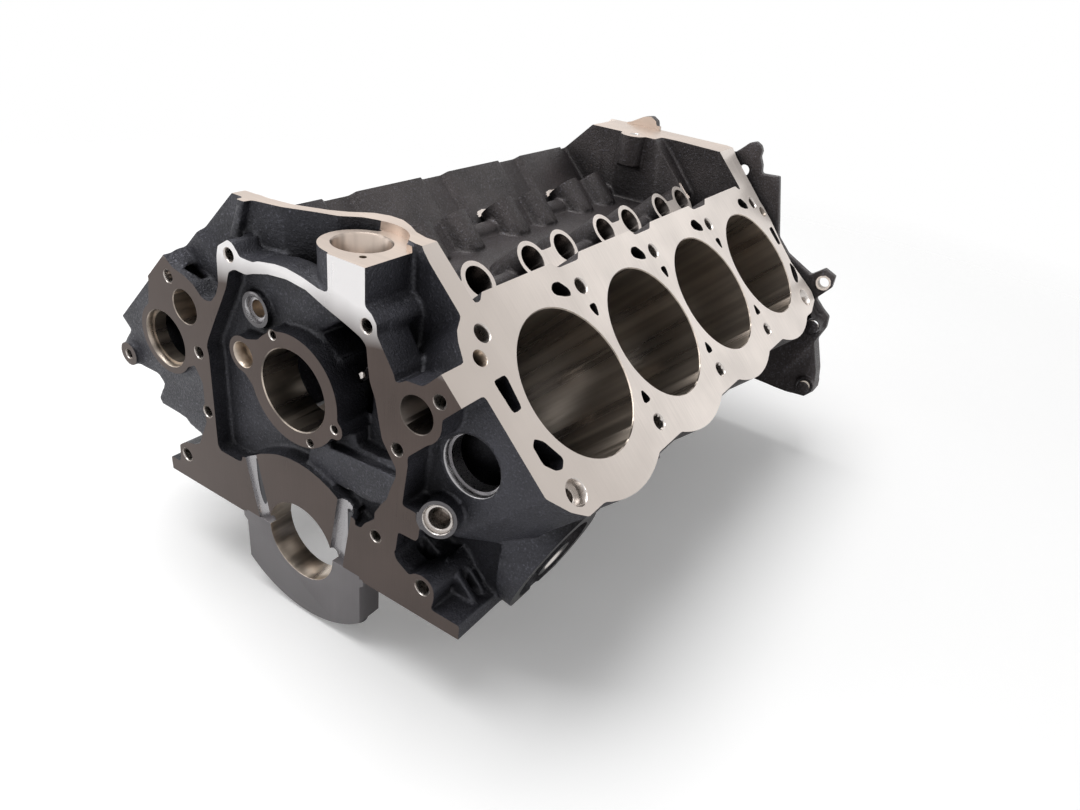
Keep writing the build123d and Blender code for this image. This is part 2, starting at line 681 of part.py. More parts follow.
def block_casting():
    """The block, cast in one piece and machined."""
    body, tongue, barrels = bank_body()
    ring_solids, ring_bores = core_plug_fronts()
    side_bosses, side_bores = core_plug_sides()
    front_solids, right_pocket = front_end()
    filter_boss, filter_holes = filter_mount()
    port_boss, port_holes = sender_port()
    bell_upper, bell_lower, bell_holes = bell_flange()
    tubes, gallery_bores = galleries()
    pockets, gear_boss, gear_hole = gear_pocket()
    left_steps, left_solids, left_hole = left_front()
    banks = both_banks([body] + side_bosses)
    shell = fuse([crankcase_body()] + banks)
    shell = shell.fuse(*front_solids, *valley_walls(), *distributor_tower(), *water_outlets(), *ring_solids)
    shell = shell.fuse(tongue, filter_boss, port_boss, *bell_lower)
    shell = (shell - left_steps).fuse(*left_solids)
    front_trim = Pos(0, -100, 0) * Box(700, 200, 700)
    shell = shell - [over_decks(), front_trim]
    hollows = both_banks([jacket_void()]) + crankcase_bays()
    shell = shell - hollows
    shell = shell.fuse(*both_banks(barrels + lifter_bosses()), *tubes, *bell_upper)
    shell = shell - [right_pocket, front_prism(timing_cavity(), -2, cavity_depth), *pockets]
    shell = shell.fuse(gear_boss, *cam_plate(), *pan_corner(), front_prism(
        outline([(-62, rail_bottom), (62, rail_bottom), (62, 36)] + [
            (68 * cos(radians(a)), 68 * sin(radians(a))) for a in range(32, 150, 8)] + [(-62, 36)]),
        0, front_plate))
    cuts = both_banks(cylinder_bores() + lifter_bores() + deck_holes() + deck_slots() + side_bores)
    cuts += front_holes() + oil_grooves() + ring_bores + filter_holes + port_holes + bell_holes
    cuts += gallery_bores + [gear_hole, left_hole]
    cuts += [front_hole(0, 0, main_bore_radius, -5, rear_end + 5)]
    cuts += [front_hole(0, cam_height, cam_bore_radius, -5, rear_end + 5)]
    cuts += [front_trim, over_decks() - Pos(0, rear_end, 0) * Box(600, 2 * bell_upper_thick, 600)]
    cuts += [upright(distributor_x, distributor_y, distributor_radius, 180, distributor_top + 10)]
    cuts += [Pos(0, 0, rail_bottom - 100) * Box(700, 1200, 200)]
    cuts += cap_bolt_holes() + pan_holes() + rear_opening()
    cap_seats = [(0.0, front_plate)] + [(y - web_thickness / 2, y + web_thickness / 2) for y in web_centres]
    seat = outline([(-cap_half, -10), (cap_half, -10), (cap_half, 0), (-cap_half, 0)])
    cuts += [front_prism(seat, start - 1, end + 1) for start, end in cap_seats]
    cuts += [Pos(0, front_plate / 2, -cap_relief - 5) * Box(2 * cap_ear_half + 1, front_plate + 2, 10)]
    return shell - cuts


def cap_holes(start, end, seat, shank_radius, head_radius):
    """Main bore and bolt holes of one cap, with the bolt heads seated at z = -seat."""
    middle = (start + end) / 2
    holes = [front_hole(0, 0, main_bore_radius, start - 5, end + 5)]
    for x in (-cap_bolt_x, cap_bolt_x):
        holes.append(Pos(x, middle, -seat / 2) * Cylinder(shank_radius + 0.25, seat + 20))
        holes.append(Pos(x, middle, -seat - 20) * Cylinder(head_radius, 40))
    return holes


def front_main_cap():
    """Front bearing cap, flush with the front face and round underneath."""
    half = cap_half - cap_clearance
    ear_top = -cap_relief - cap_clearance
    side = outline([
        (-half, 0), (half, 0), (half, ear_top), (cap_ear_half, ear_top),
        (cap_ear_half, -7), (half, -10), (half, -90), (-half, -90), (-half, -10), (-cap_ear_half, -7),
        (-cap_ear_half, ear_top), (-half, ear_top),
    ])
    curve = Pos(0, front_cap_curve - front_cap_depth) * Circle(front_cap_curve)
    solid = front_prism(side & curve, 0, front_plate)
    return solid - cap_holes(0, front_plate, front_bolt_seat, front_bolt_radius, front_bolt_head_radius + 0.4)


def main_cap(centre):
    """Bearing cap of an inner or rear web, flat underneath for its bolt heads."""
    half = cap_half - cap_clearance
    start, end = centre - web_thickness / 2, centre + web_thickness / 2
    side = outline([
        (-half, 0), (half, 0), (half, -cap_depth + 8), (half - 5, -cap_depth), (22, -cap_depth),
        (16, -cap_depth + 5), (-16, -cap_depth + 5), (-22, -cap_depth), (-half + 5, -cap_depth),
        (-half, -cap_depth + 8),
    ])
    solid = front_prism(side, start, end)
    return solid - cap_holes(start, end, cap_depth, cap_bolt_radius, cap_bolt_head_flats / 2 + 3)


def cap_bolt(x, y):
    """Hexagon bolt with a washer face, from its head up to the end of its thread."""
    base = -cap_depth - cap_bolt_head_height
    shank = upright(x, y, cap_bolt_radius, -cap_depth - 2, cap_bolt_reach)
    washer = upright(x, y, cap_bolt_head_flats / 2 + 1.5, -cap_depth - 1.5, -cap_depth)
    return shank.fuse(washer, hexagon(x, y, cap_bolt_head_flats, base, -cap_depth))


def front_cap_bolt(x, y):
    """Socket-head bolt of the front cap, sunk in its counterbore."""
    base = -front_bolt_seat - front_bolt_head_height
    shank = upright(x, y, front_bolt_radius, -front_bolt_seat - 2, cap_bolt_reach)
    head = upright(x, y, front_bolt_head_radius, base, -front_bolt_seat)
    return shank.fuse(head) - hexagon(x, y, front_bolt_socket, base - 1, base + 6)


def main():
    """Build every piece and write one file for each."""
    os.makedirs("parts", exist_ok=True)
    casting = block_casting()
    print("casting solids", len(casting.solids()), "volume", round(casting.volume), "faces", len(casting.faces()))
    export_step(casting, "parts/block_casting.step")
    export_step(front_main_cap(), "parts/main_cap_1.step")
    bolts = [front_cap_bolt(x, front_plate / 2) for x in (-cap_bolt_x, cap_bolt_x)]
    for number, centre in enumerate(web_centres, start=2):
        export_step(main_cap(centre), f"parts/main_cap_{number}.step")
        bolts += [cap_bolt(x, centre) for x in (-cap_bolt_x, cap_bolt_x)]
    export_step(Compound(children=bolts), "parts/main_cap_bolts.step")


main()
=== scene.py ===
"""Looks of a bare grey-iron V8 engine block: rough as-cast walls and bright machined faces.

The casting is made as the real one is. A softened copy of the solid, with its holes filled and its
faces left proud, stands for the raw casting. Milling, boring, drilling and tapping tools then cut it to size.
Sizes are in millimetres times MM, in the frame of the solid: +X right seen from the front, +Y to the rear.
"""
import json
from math import radians

import bpy
from mathutils import Matrix, Vector

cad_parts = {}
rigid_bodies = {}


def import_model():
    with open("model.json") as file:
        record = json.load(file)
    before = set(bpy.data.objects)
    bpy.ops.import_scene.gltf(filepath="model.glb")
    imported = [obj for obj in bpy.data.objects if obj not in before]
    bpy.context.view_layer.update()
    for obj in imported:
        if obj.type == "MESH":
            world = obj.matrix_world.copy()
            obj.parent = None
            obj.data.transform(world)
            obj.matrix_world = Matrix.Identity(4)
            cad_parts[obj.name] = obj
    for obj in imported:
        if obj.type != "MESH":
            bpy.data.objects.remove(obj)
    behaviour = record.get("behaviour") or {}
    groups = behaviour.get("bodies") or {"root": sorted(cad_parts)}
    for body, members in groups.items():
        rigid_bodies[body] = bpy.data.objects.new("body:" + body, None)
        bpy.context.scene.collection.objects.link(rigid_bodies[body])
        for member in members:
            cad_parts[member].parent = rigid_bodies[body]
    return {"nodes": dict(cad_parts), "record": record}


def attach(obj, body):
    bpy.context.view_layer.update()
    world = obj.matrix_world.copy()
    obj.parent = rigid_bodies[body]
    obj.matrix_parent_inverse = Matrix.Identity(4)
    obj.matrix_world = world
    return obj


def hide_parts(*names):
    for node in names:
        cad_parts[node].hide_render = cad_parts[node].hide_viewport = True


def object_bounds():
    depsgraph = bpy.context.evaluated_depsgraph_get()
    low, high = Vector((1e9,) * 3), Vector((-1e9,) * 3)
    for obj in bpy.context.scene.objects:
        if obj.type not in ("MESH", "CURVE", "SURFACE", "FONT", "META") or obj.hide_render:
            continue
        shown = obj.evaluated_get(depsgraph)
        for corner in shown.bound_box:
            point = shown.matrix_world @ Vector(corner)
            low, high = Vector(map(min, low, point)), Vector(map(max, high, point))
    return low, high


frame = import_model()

bl_info = {
    "name": "Engine Block Looks",
    "version": (1, 0, 0),
    "blender": (4, 5, 0),
    "location": "View3D > Sidebar > Engine Block",
    "description": "Builds the cast and machined surfaces of a V8 engine block around its solid",
    "category": "Object",
}

MM = 0.001
MOUNTS = {mount["name"]: mount for mount in frame["record"]["mounts"]}
CAD_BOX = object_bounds()

FRONT = Vector((0, -1, 0))
REAR = Vector((0, 1, 0))
UP = Vector((0, 0, 1))
DOWN = Vector((0, 0, -1))


def radius_of(name):
    """Radius of a round mount, in metres."""
    return MOUNTS[name]["dims"]["r_mm"] * MM


def length_of(name):
    """Length of a round mount, in metres."""
    return MOUNTS[name]["dims"]["length_mm"] * MM


class Bank:
    """One bank of cylinders: its deck plane, and points on it by place along and across the deck."""

    def __init__(self, side, sign):
        first = MOUNTS[f"cylinder_{side}_1"]
        second = MOUNTS[f"cylinder_{side}_2"]
        self.normal = Vector((sign, 0, 1)).normalized()
        self.across = Vector((-sign, 0, 1)).normalized()
        self.height = Vector(first["pos_m"]).dot(self.normal)
        self.first = first["pos_m"][1]
        self.spacing = second["pos_m"][1] - first["pos_m"][1]
        self.bores = [self.first + k * self.spacing for k in range(4)]
        self.columns = [self.first + (k - 0.5) * self.spacing for k in range(5)]
        self.side = side

    def at(self, y, v, height=None):
        """Point at y along the block and v across the deck, on the deck or at another height."""
        height = self.height if height is None else height
        return REAR * y + self.across * v + self.normal * height


RIGHT = Bank("right", 1)
LEFT = Bank("left", -1)
BANKS = (RIGHT, LEFT)
REAR_END = CAD_BOX[1][1]
WEB_HALF = 12 * MM
FIRST_WEB = RIGHT.first - (RIGHT.first - LEFT.first) / 2 - RIGHT.spacing / 2
WEBS = [FIRST_WEB + k * RIGHT.spacing for k in range(1, 5)]


def spot_at(x, y, z):
    """Point given in millimetres."""
    return Vector((x, y, z)) * MM


class CastingSettings(bpy.types.PropertyGroup):
    """Sizes of the raw casting and of its finish."""

    grid: bpy.props.FloatProperty(
        name="Grid", description="Cell size of the raw casting's mesh", default=1.7 * MM,
        min=1.0 * MM, subtype="DISTANCE", unit="LENGTH")
    allowance: bpy.props.FloatProperty(
        name="Allowance", description="Metal left on each face for the milling tools", default=4.0 * MM,
        subtype="DISTANCE", unit="LENGTH")
    rounds: bpy.props.IntProperty(
        name="Rounding", description="Smoothing passes that round the cast edges", default=5, min=0)
    faces: bpy.props.IntProperty(
        name="Faces", description="Triangles kept in the raw casting", default=125000, min=20000)
    colour: bpy.props.FloatVectorProperty(
        name="Cast Colour", description="Colour of the as-cast iron", default=(0.037, 0.037, 0.046),
        subtype="COLOR", size=3, min=0, max=1)
    oiled: bpy.props.FloatVectorProperty(
        name="Oiled Colour", description="Colour of the as-cast iron inside the valley",
        default=(0.041, 0.034, 0.034), subtype="COLOR", size=3, min=0, max=1)


class MachiningSettings(bpy.types.PropertyGroup):
    """Sizes and colours of the machined faces."""

    deck: bpy.props.FloatVectorProperty(
        name="Deck Colour", description="Colour of the milled decks", default=(0.90, 0.82, 0.76),
        subtype="COLOR", size=3, min=0, max=1)
    near: bpy.props.FloatVectorProperty(
        name="Near Deck Colour", description="Colour of the decks at their front end",
        default=(0.60, 0.53, 0.48), subtype="COLOR", size=3, min=0, max=1)
    front: bpy.props.FloatVectorProperty(
        name="Front Colour", description="Colour of the milled front face", default=(0.085, 0.064, 0.056),
        subtype="COLOR", size=3, min=0, max=1)
    # The crest colour is a painted reflection: the front face turns near-white towards its top, over the timing
    # case.
    crest: bpy.props.FloatVectorProperty(
        name="Crest Colour", description="Colour of the front face over the timing case",
        default=(0.88, 0.86, 0.86), subtype="COLOR", size=3, min=0, max=1)
    rail: bpy.props.FloatVectorProperty(
        name="Rail Colour", description="Colour of the milled top rails and distributor pad",
        default=(0.62, 0.52, 0.45), subtype="COLOR", size=3, min=0, max=1)
    bore: bpy.props.FloatVectorProperty(
        name="Bore Colour", description="Colour of the honed walls between their streaks",
        default=(0.12, 0.103, 0.092), subtype="COLOR", size=3, min=0, max=1)
    # Streak-and-sheen colour: fine streaks of polish, and broad bands of painted sheen, reflected light laid
    # into a bore's colour.
    streak_and_sheen: bpy.props.FloatVectorProperty(
        name="Streak Colour", description="Colour of the streaks of polish along a bore",
        default=(0.80, 0.69, 0.58), subtype="COLOR", size=3, min=0, max=1)
    hole: bpy.props.FloatVectorProperty(
        name="Hole Colour", description="Colour of drilled and tapped holes",
        default=(0.62, 0.58, 0.55), subtype="COLOR", size=3, min=0, max=1)
    cap: bpy.props.FloatVectorProperty(
        name="Cap Colour", description="Colour of the main bearing caps", default=(0.17, 0.16, 0.165),
        subtype="COLOR", size=3, min=0, max=1)
    bolt: bpy.props.FloatVectorProperty(
        name="Bolt Colour", description="Colour of the cap bolts", default=(0.09, 0.09, 0.095),
        subtype="COLOR", size=3, min=0, max=1)
    face: bpy.props.FloatVectorProperty(
        name="Face Colour", description="Colour of small spot faces", default=(0.13, 0.125, 0.13),
        subtype="COLOR", size=3, min=0, max=1)
    groove: bpy.props.FloatVectorProperty(
        name="Groove Colour", description="Colour of the oil grooves in the front web",
        default=(0.42, 0.41, 0.42), subtype="COLOR", size=3, min=0, max=1)
    deep: bpy.props.FloatVectorProperty(
        name="Lifter Bore Colour", description="Colour inside the lifter bores", default=(0.06, 0.053, 0.05),
        subtype="COLOR", size=3, min=0, max=1)
    dim: bpy.props.FloatVectorProperty(
        name="Turned Shade", description="Darker bands of the distributor's bore",
        default=(0.10, 0.085, 0.075), subtype="COLOR", size=3, min=0, max=1)
    pitch: bpy.props.FloatProperty(
        name="Thread Pitch", description="Distance between the threads of a tapped hole", default=1.7 * MM,
        subtype="DISTANCE", unit="LENGTH")
    chamfer: bpy.props.FloatProperty(
        name="Chamfer", description="Width of the bright edge at a hole's mouth", default=0.7 * MM,
        subtype="DISTANCE", unit="LENGTH")


class StageSettings(bpy.types.PropertyGroup):
    """Floor, lamps and camera."""

    floor: bpy.props.FloatVectorProperty(
        name="Floor", description="Colour of the floor", default=(0.93, 0.93, 0.93), subtype="COLOR",
        size=3, min=0, max=1)
    glow: bpy.props.FloatProperty(
        name="Glow", description="What the floor adds to its own light as the camera sees it",
        default=0.18, min=0)
    sky: bpy.props.FloatProperty(
        name="Sky", description="Strength of the sky that lights the part", default=0.30, min=0)
    lens: bpy.props.FloatProperty(
        name="Lens", description="Focal length of the camera in millimetres", default=26.59)
    key_power: bpy.props.FloatProperty(
        name="Key", description="Power of the large lamp overhead, in watts", default=66.0, unit="POWER")
    side_power: bpy.props.FloatProperty(
        name="Side", description="Power of the lamp on the left, in watts", default=8.0, unit="POWER")


def deselect():
    """Leave edit mode and clear the selection."""
    if bpy.context.object and bpy.context.object.mode != "OBJECT":
        bpy.ops.object.mode_set(mode="OBJECT")
    bpy.ops.object.select_all(action="DESELECT")


def activate(piece):
    """Make a piece the only selected object."""
    deselect()
    piece.select_set(True)
    bpy.context.view_layer.objects.active = piece
    return piece


def settle(piece):
    """Put a piece's place into its mesh, so that its object stands at the origin."""
    activate(piece)
    bpy.ops.object.transform_apply(location=True, rotation=True, scale=True)
    return piece


def apply_modifier(piece, kind, **settings):
    """Add one modifier with its settings, and apply it."""
    activate(piece)
    modifier = piece.modifiers.new(kind.title(), kind)
    for key, value in settings.items():
        setattr(modifier, key, value)
    bpy.ops.object.modifier_apply(modifier=modifier.name)


def copy_of(piece, name):
    """Copy of a piece with a mesh of its own."""
    twin = piece.copy()
    twin.data = piece.data.copy()
    twin.name = name
    twin.data.name = name
    twin.parent = None
    twin.hide_render = False
    twin.hide_viewport = False
    bpy.context.scene.collection.objects.link(twin)
    for key in list(twin.keys()):
        if key.startswith("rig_"):
            del twin[key]
    return twin


def select_faces(piece, wanted):
    """Select a piece's faces for which wanted(face) is true, and enter edit mode."""
    activate(piece)
    bpy.ops.object.mode_set(mode="EDIT")
    bpy.ops.mesh.select_mode(type="FACE")
    bpy.ops.mesh.select_all(action="DESELECT")
    bpy.ops.object.mode_set(mode="OBJECT")
    for face in piece.data.polygons:
        face.select = wanted(face)
    bpy.ops.object.mode_set(mode="EDIT")


def leave_edit():
    """Return to object mode."""
    bpy.ops.object.mode_set(mode="OBJECT")


def turned_to(axis, point):
    """Matrix that takes local +Z to an axis and the local origin to a point."""
    return Matrix.Translation(point) @ UP.rotation_difference(axis).to_matrix().to_4x4()


class Wire:
    """A node's output that takes part in Python expressions, each adding its Math node."""

    def __init__(self, maker, socket):
        self.maker = maker
        self.socket = socket

    def _math(self, operation, first, second):
        return self.maker.node("ShaderNodeMath", {"operation": operation}, first, second)

    def __add__(self, other): return self._math("ADD", self, other)
    def __radd__(self, other): return self._math("ADD", other, self)
    def __mul__(self, other): return self._math("MULTIPLY", self, other)
    def __rmul__(self, other): return self._math("MULTIPLY", other, self)


class Finish:
    """Builds the node tree of one material."""

    def __init__(self, name, **fixed):
        self.material = bpy.data.materials.new(name)
        self.material.use_nodes = True
        self.tree = self.material.node_tree
        self.shader = self.tree.nodes["Principled BSDF"]
        for key, value in fixed.items():
            self.shader.inputs[key.replace("_", " ").title()].default_value = value

    def node(self, kind, settings, *inputs, output=0, **named):
        """Add a node: its settings first, then its sockets by order or by name, each a value or a Wire."""
        node = self.tree.nodes.new(kind)
        for key, value in settings.items():
            setattr(node, key, value)
        pairs = list(zip(node.inputs, inputs))
        pairs += [(node.inputs[key.replace("_", " ")], value) for key, value in named.items()]
        for socket, value in pairs:
            if isinstance(value, Wire):
                self.tree.links.new(value.socket, socket)
            else:
                socket.default_value = value
        return Wire(self, node.outputs[output])

    def place(self):
        """Object coordinates."""
        return self.node("ShaderNodeTexCoord", {}, output=3)

    def along(self, direction):
        """Distance of a point along a direction."""
        return self.node("ShaderNodeVectorMath", {"operation": "DOT_PRODUCT"}, self.place(), tuple(direction),
                         output=1)

    def noise(self, scale, detail=3.0, roughness=0.5, place=None):
        """Soft noise from 0 to 1."""
        return self.node("ShaderNodeTexNoise", {}, Vector=place or self.place(), Scale=scale, Detail=detail,
                         Roughness=roughness)

    def stretched(self, factors):
        """Object coordinates stretched along the axes."""
        return self.node("ShaderNodeVectorMath", {"operation": "MULTIPLY"}, self.place(), factors)

    def ramp(self, value, low, high, start=0.0, end=1.0):
        """Value mapped from low..high to start..end, held at both ends."""
        return self.node("ShaderNodeMapRange", {}, value, low, high, start, end)

    def blend(self, factor, first, second):
        """Mix of two colours."""
        node = self.tree.nodes.new("ShaderNodeMix")
        node.data_type = "RGBA"
        for index, value in ((0, factor), (6, first), (7, second)):
            if isinstance(value, Wire):
                self.tree.links.new(value.socket, node.inputs[index])
            else:
                node.inputs[index].default_value = value
        return Wire(self, node.outputs[2])

    def feed(self, socket, wire):
        """Drive one of the shader's sockets."""
        self.tree.links.new(wire.socket, self.shader.inputs[socket])

    def bump(self, height, distance, strength=1.0):
        """Bump from a height, feeding the shader's normal."""
        normal = self.node("ShaderNodeBump", {}, Height=height, Distance=distance, Strength=strength)
        self.feed("Normal", normal)


def rgba(colour, gain=1.0):
    """Colour with full opacity, lightened or darkened by a factor."""
    return (*[min(1.0, part * gain) for part in colour], 1.0)


# Patterns, in cycles per metre; so few bands leave a honed wall in one shade, with fine streaks only.
MARKS_ACROSS = 900.0
MARKS_ALONG = 30.0
FINE_STREAKS = 130.0
# The broad bands on honed and turned walls are painted sheen.
HONED_BANDS = 0.26
TURNED_BANDS = 70.0
# Where the painted reflection brightens the front face upwards, and where the deck stops being darker at its
# front end.
PAINTED_REFLECTION_FOOT = 184 * MM
PAINTED_REFLECTION_FULL = 207 * MM
NEAR_FULL = 20 * MM
NEAR_END = 220 * MM


def cast_iron_finish(colour, oiled):
    """As-cast iron: dark, sandy, with painted glints on its grains, painted shade that turns its corners black,
    browner to the rear.
    """
    finish = Finish("cast_iron", metallic=0.4)
    broad = finish.noise(26.0, 4.0)
    sand = finish.noise(640.0, 3.0, 0.75)
    lumps = finish.noise(240.0, 2.0, 0.6)
    # Ambient occlusion drives painted shade: the iron's colour goes nearly black in corners and recesses.
    corner = finish.node(
        "ShaderNodeAmbientOcclusion", {"samples": 8, "only_local": True}, Distance=45 * MM, output=1)
    tone = finish.ramp(broad * 0.5 + sand * 0.5, 0.35, 0.65)
    inside = finish.ramp(finish.along(REAR), 50 * MM, 130 * MM)
    dark = finish.blend(inside, rgba(colour, 0.55), rgba(oiled, 0.55))
    light = finish.blend(inside, rgba(colour, 1.5), rgba(oiled, 1.5))
    # Grains above a threshold take four times the iron's colour: a painted glint.
    painted_glint = finish.ramp(sand, 0.58, 0.72)
    open_iron = finish.blend(painted_glint, finish.blend(tone, dark, light), rgba(colour, 4.0))
    painted_shade = finish.ramp(corner, 0.15, 0.85)
    finish.feed("Base Color", finish.blend(painted_shade, rgba(colour, 0.12), open_iron))
    finish.feed("Roughness", finish.ramp(sand * 0.7 + broad * 0.3, 0.35, 0.65, 0.52, 0.26))
    finish.bump(sand * 0.65 + lumps * 0.35, 1.0 * MM, 0.9)
    return finish.material


def milled_finish(name, colour, roughness, grain_along, metallic=0.75, crest=None, near=None):
    """Milled face with fine tool marks, a painted reflection in another colour at its crest if it has one, and
    another colour at its near end if it has one.
    """
    finish = Finish(name, metallic=metallic)
    factors = [MARKS_ACROSS if part else MARKS_ALONG for part in grain_along]
    marks = finish.noise(1.0, 2.0, 0.5, finish.stretched(factors))
    broad = finish.noise(22.0, 2.0)
    tone = finish.ramp(marks * 0.35 + broad * 0.65, 0.35, 0.65)
    surface = finish.blend(tone, rgba(colour, 0.9), rgba(colour, 1.1))
    # The crest blend paints a reflection: the face turns to the crest colour above a height.
    if crest:
        height = finish.along(UP) + broad * (16 * MM)
        surface = finish.blend(finish.ramp(height, PAINTED_REFLECTION_FOOT, PAINTED_REFLECTION_FULL), surface, rgba(crest))
    if near:
        depth = finish.along(REAR) + broad * (40 * MM)
        surface = finish.blend(finish.ramp(depth, NEAR_FULL, NEAR_END), rgba(near), surface)
    finish.feed("Base Color", surface)
    gloss = finish.ramp(marks * 0.5 + broad * 0.5, 0.3, 0.7, roughness - 0.04, roughness + 0.05)
    finish.feed("Roughness", gloss)
    finish.bump(marks, 0.02 * MM, 0.2)
    return finish.material


def bored_finish(name, across, along, dark, light, bands=24.0):
    """Bored or honed wall: fine streaks of polish and broad bands of painted sheen along the bore; bands is how
    closely the broad ones lie.
    """
    finish = Finish(name, metallic=0.9)
    first, second = [finish.along(direction) for direction in across]
    far = finish.along(along)
    wide = finish.node("ShaderNodeCombineXYZ", {}, first * bands, second * bands, far * 2.0)
    fine = finish.node("ShaderNodeCombineXYZ", {}, first * FINE_STREAKS, second * FINE_STREAKS, far * 4.0)
    # The broad bands are painted sheen, bright bands of reflected light laid into the colour; the fine streaks
    # are polish.
    polish_and_sheen = finish.noise(1.0, 2.0, 0.5, wide)
    streaks = finish.noise(1.0, 2.0, 0.5, fine)
    tone = finish.ramp(polish_and_sheen * 0.84 + streaks * 0.16, 0.40, 0.62)
    finish.feed("Base Color", finish.blend(tone, rgba(dark), rgba(light)))
    finish.feed("Roughness", finish.ramp(streaks, 0.3, 0.7, 0.25, 0.38))
    return finish.material


def hole_finish(name, colour):
    """Drilled, tapped or spot-faced iron: bright steel-grey turning marks."""
    finish = Finish(name, metallic=1.0)
    marks = finish.noise(1400.0, 2.0)
    finish.feed("Base Color", finish.blend(marks, rgba(colour, 0.8), rgba(colour, 1.1)))
    finish.feed("Roughness", finish.ramp(marks, 0.3, 0.7, 0.24, 0.36))
    return finish.material


PLUG_SPARE = 1.2 * MM


class Workshop:
    """Holds the raw casting's plugs and the tools that cut it."""

    def __init__(self):
        self.plugs = []
        self.tools = bpy.data.collections.new("tools")
        bpy.context.scene.collection.children.link(self.tools)

    def bar(self, name, radius, depth, vertices):
        """Round bar that lies below the local origin along -Z."""
        deselect()
        bpy.ops.mesh.primitive_cylinder_add(
            vertices=vertices, radius=radius, depth=depth, location=(0, 0, -depth / 2))
        piece = bpy.context.object
        piece.name = name
        return settle(piece)

    def stand(self, piece, point, axis):
        """Put a tool or plug where it works, in its mesh."""
        piece.data.transform(turned_to(axis, point))
        return piece

    def plug(self, point, axis, radius, depth, proud=6 * MM, over=None):
        """Fill a hole of the solid with a wider bar, proud of its face; over cuts the bar off below a height."""
        piece = self.bar("plug", radius + PLUG_SPARE, depth + proud, 32)
        self.stand(piece, point + axis * proud, axis)
        if over is not None:
            select_faces(piece, lambda face: True)
            bpy.ops.mesh.bisect(plane_co=(0, 0, over), plane_no=(0, 0, 1), use_fill=True, clear_inner=True)
            leave_edit()
        self.plugs.append(piece)

    def keep(self, tool, finish):
        """Give a tool its finish, and put it with the others."""
        tool.data.materials.clear()
        tool.data.materials.append(finish)
        for collection in list(tool.users_collection):
            collection.objects.unlink(tool)
        self.tools.objects.link(tool)

    def drill(self, point, axis, radius, depth, finish, chamfer=0.0, vertices=48, plug=None, reach=12 * MM):
        """Bore a plain hole, with or without a chamfer; plug is how deep the old hole is filled."""
        tool = self.bar("drill", radius, depth, vertices)
        select_faces(tool, lambda face: face.normal.z > 0.9)
        if chamfer:
            bpy.ops.transform.translate(value=(0, 0, -chamfer))
            grow = (radius + chamfer) / radius
            bpy.ops.mesh.extrude_region_move(TRANSFORM_OT_translate={"value": (0, 0, chamfer)})
            bpy.ops.transform.resize(value=(grow, grow, 1))
        bpy.ops.mesh.extrude_region_move(TRANSFORM_OT_translate={"value": (0, 0, reach)})
        leave_edit()
        self.keep(self.stand(tool, point, axis), finish)
        plug = depth if plug is None else plug
        if plug:
            self.plug(point, axis, radius, plug)

    def tap(self, point, axis, radius, depth, pitch, finish, chamfer, reach=12 * MM):
        """Cut a tapped hole: a chamfer, then rings of thread."""
        crest, root = radius, radius - 0.55 * pitch
        tool = self.bar("tap", root, depth, 28)
        select_faces(tool, lambda face: face.normal.z > 0.9)
        turns = int(min(depth, 16 * MM) / pitch) - 1
        bpy.ops.transform.translate(value=(0, 0, -(turns + 1) * pitch))
        for _ in range(turns):
            for grow in (crest / root, root / crest):
                bpy.ops.mesh.extrude_region_move(TRANSFORM_OT_translate={"value": (0, 0, pitch / 2)})
                bpy.ops.transform.resize(value=(grow, grow, 1))
        bpy.ops.mesh.extrude_region_move(TRANSFORM_OT_translate={"value": (0, 0, pitch)})
        grow = (crest + chamfer) / root
        bpy.ops.transform.resize(value=(grow, grow, 1))
        bpy.ops.mesh.extrude_region_move(TRANSFORM_OT_translate={"value": (0, 0, reach)})
        leave_edit()
        self.keep(self.stand(tool, point, axis), finish)
        self.plug(point, axis, radius, depth)

    def spot(self, point, axis, radius, finish, reach=8 * MM, vertices=64):
        """Spot-face: a flat round face, clear for a short reach over it."""
        tool = self.bar("spot", radius, reach, vertices)
        self.keep(self.stand(tool, point + axis * reach, axis), finish)

    def mill(self, point, axis, size, finish, height=60 * MM):
        """Mill a plane: everything over it, within a rectangle, goes."""
        deselect()
        bpy.ops.mesh.primitive_cube_add(size=1, location=(0, 0, 0.5))
        tool = settle(bpy.context.object)
        select_faces(tool, lambda face: True)
        bpy.ops.transform.resize(value=(size[0], size[1], height), center_override=(0, 0, 0))
        leave_edit()
        self.keep(self.stand(tool, point, axis), finish)

    def slot(self, low, high, finish):
        """Mill away the box between two corners."""
        middle = (low + high) / 2
        foot = Vector((middle.x, middle.y, low.z))
        self.mill(foot, UP, (high.x - low.x, high.y - low.y), finish, high.z - low.z)

    def clear(self):
        """Remove the tools after use."""
        for tool in list(self.tools.objects):
            bpy.data.objects.remove(tool)
        bpy.data.collections.remove(self.tools)


def raw_casting(node, name, faces_left, allowance):
    """Copy of a solid with metal left on its machined faces."""
    casting = copy_of(frame["nodes"][node], name)
    apply_modifier(casting, "WELD", merge_threshold=0.01 * MM)
    for normal, distance in faces_left:
        select_faces(casting, lambda face: face.normal.dot(normal) > 0.999
                     and abs(face.center.dot(normal) - distance) < 0.05 * MM)
        bpy.ops.mesh.extrude_region_move(TRANSFORM_OT_translate={"value": normal * allowance})
        leave_edit()
    return casting


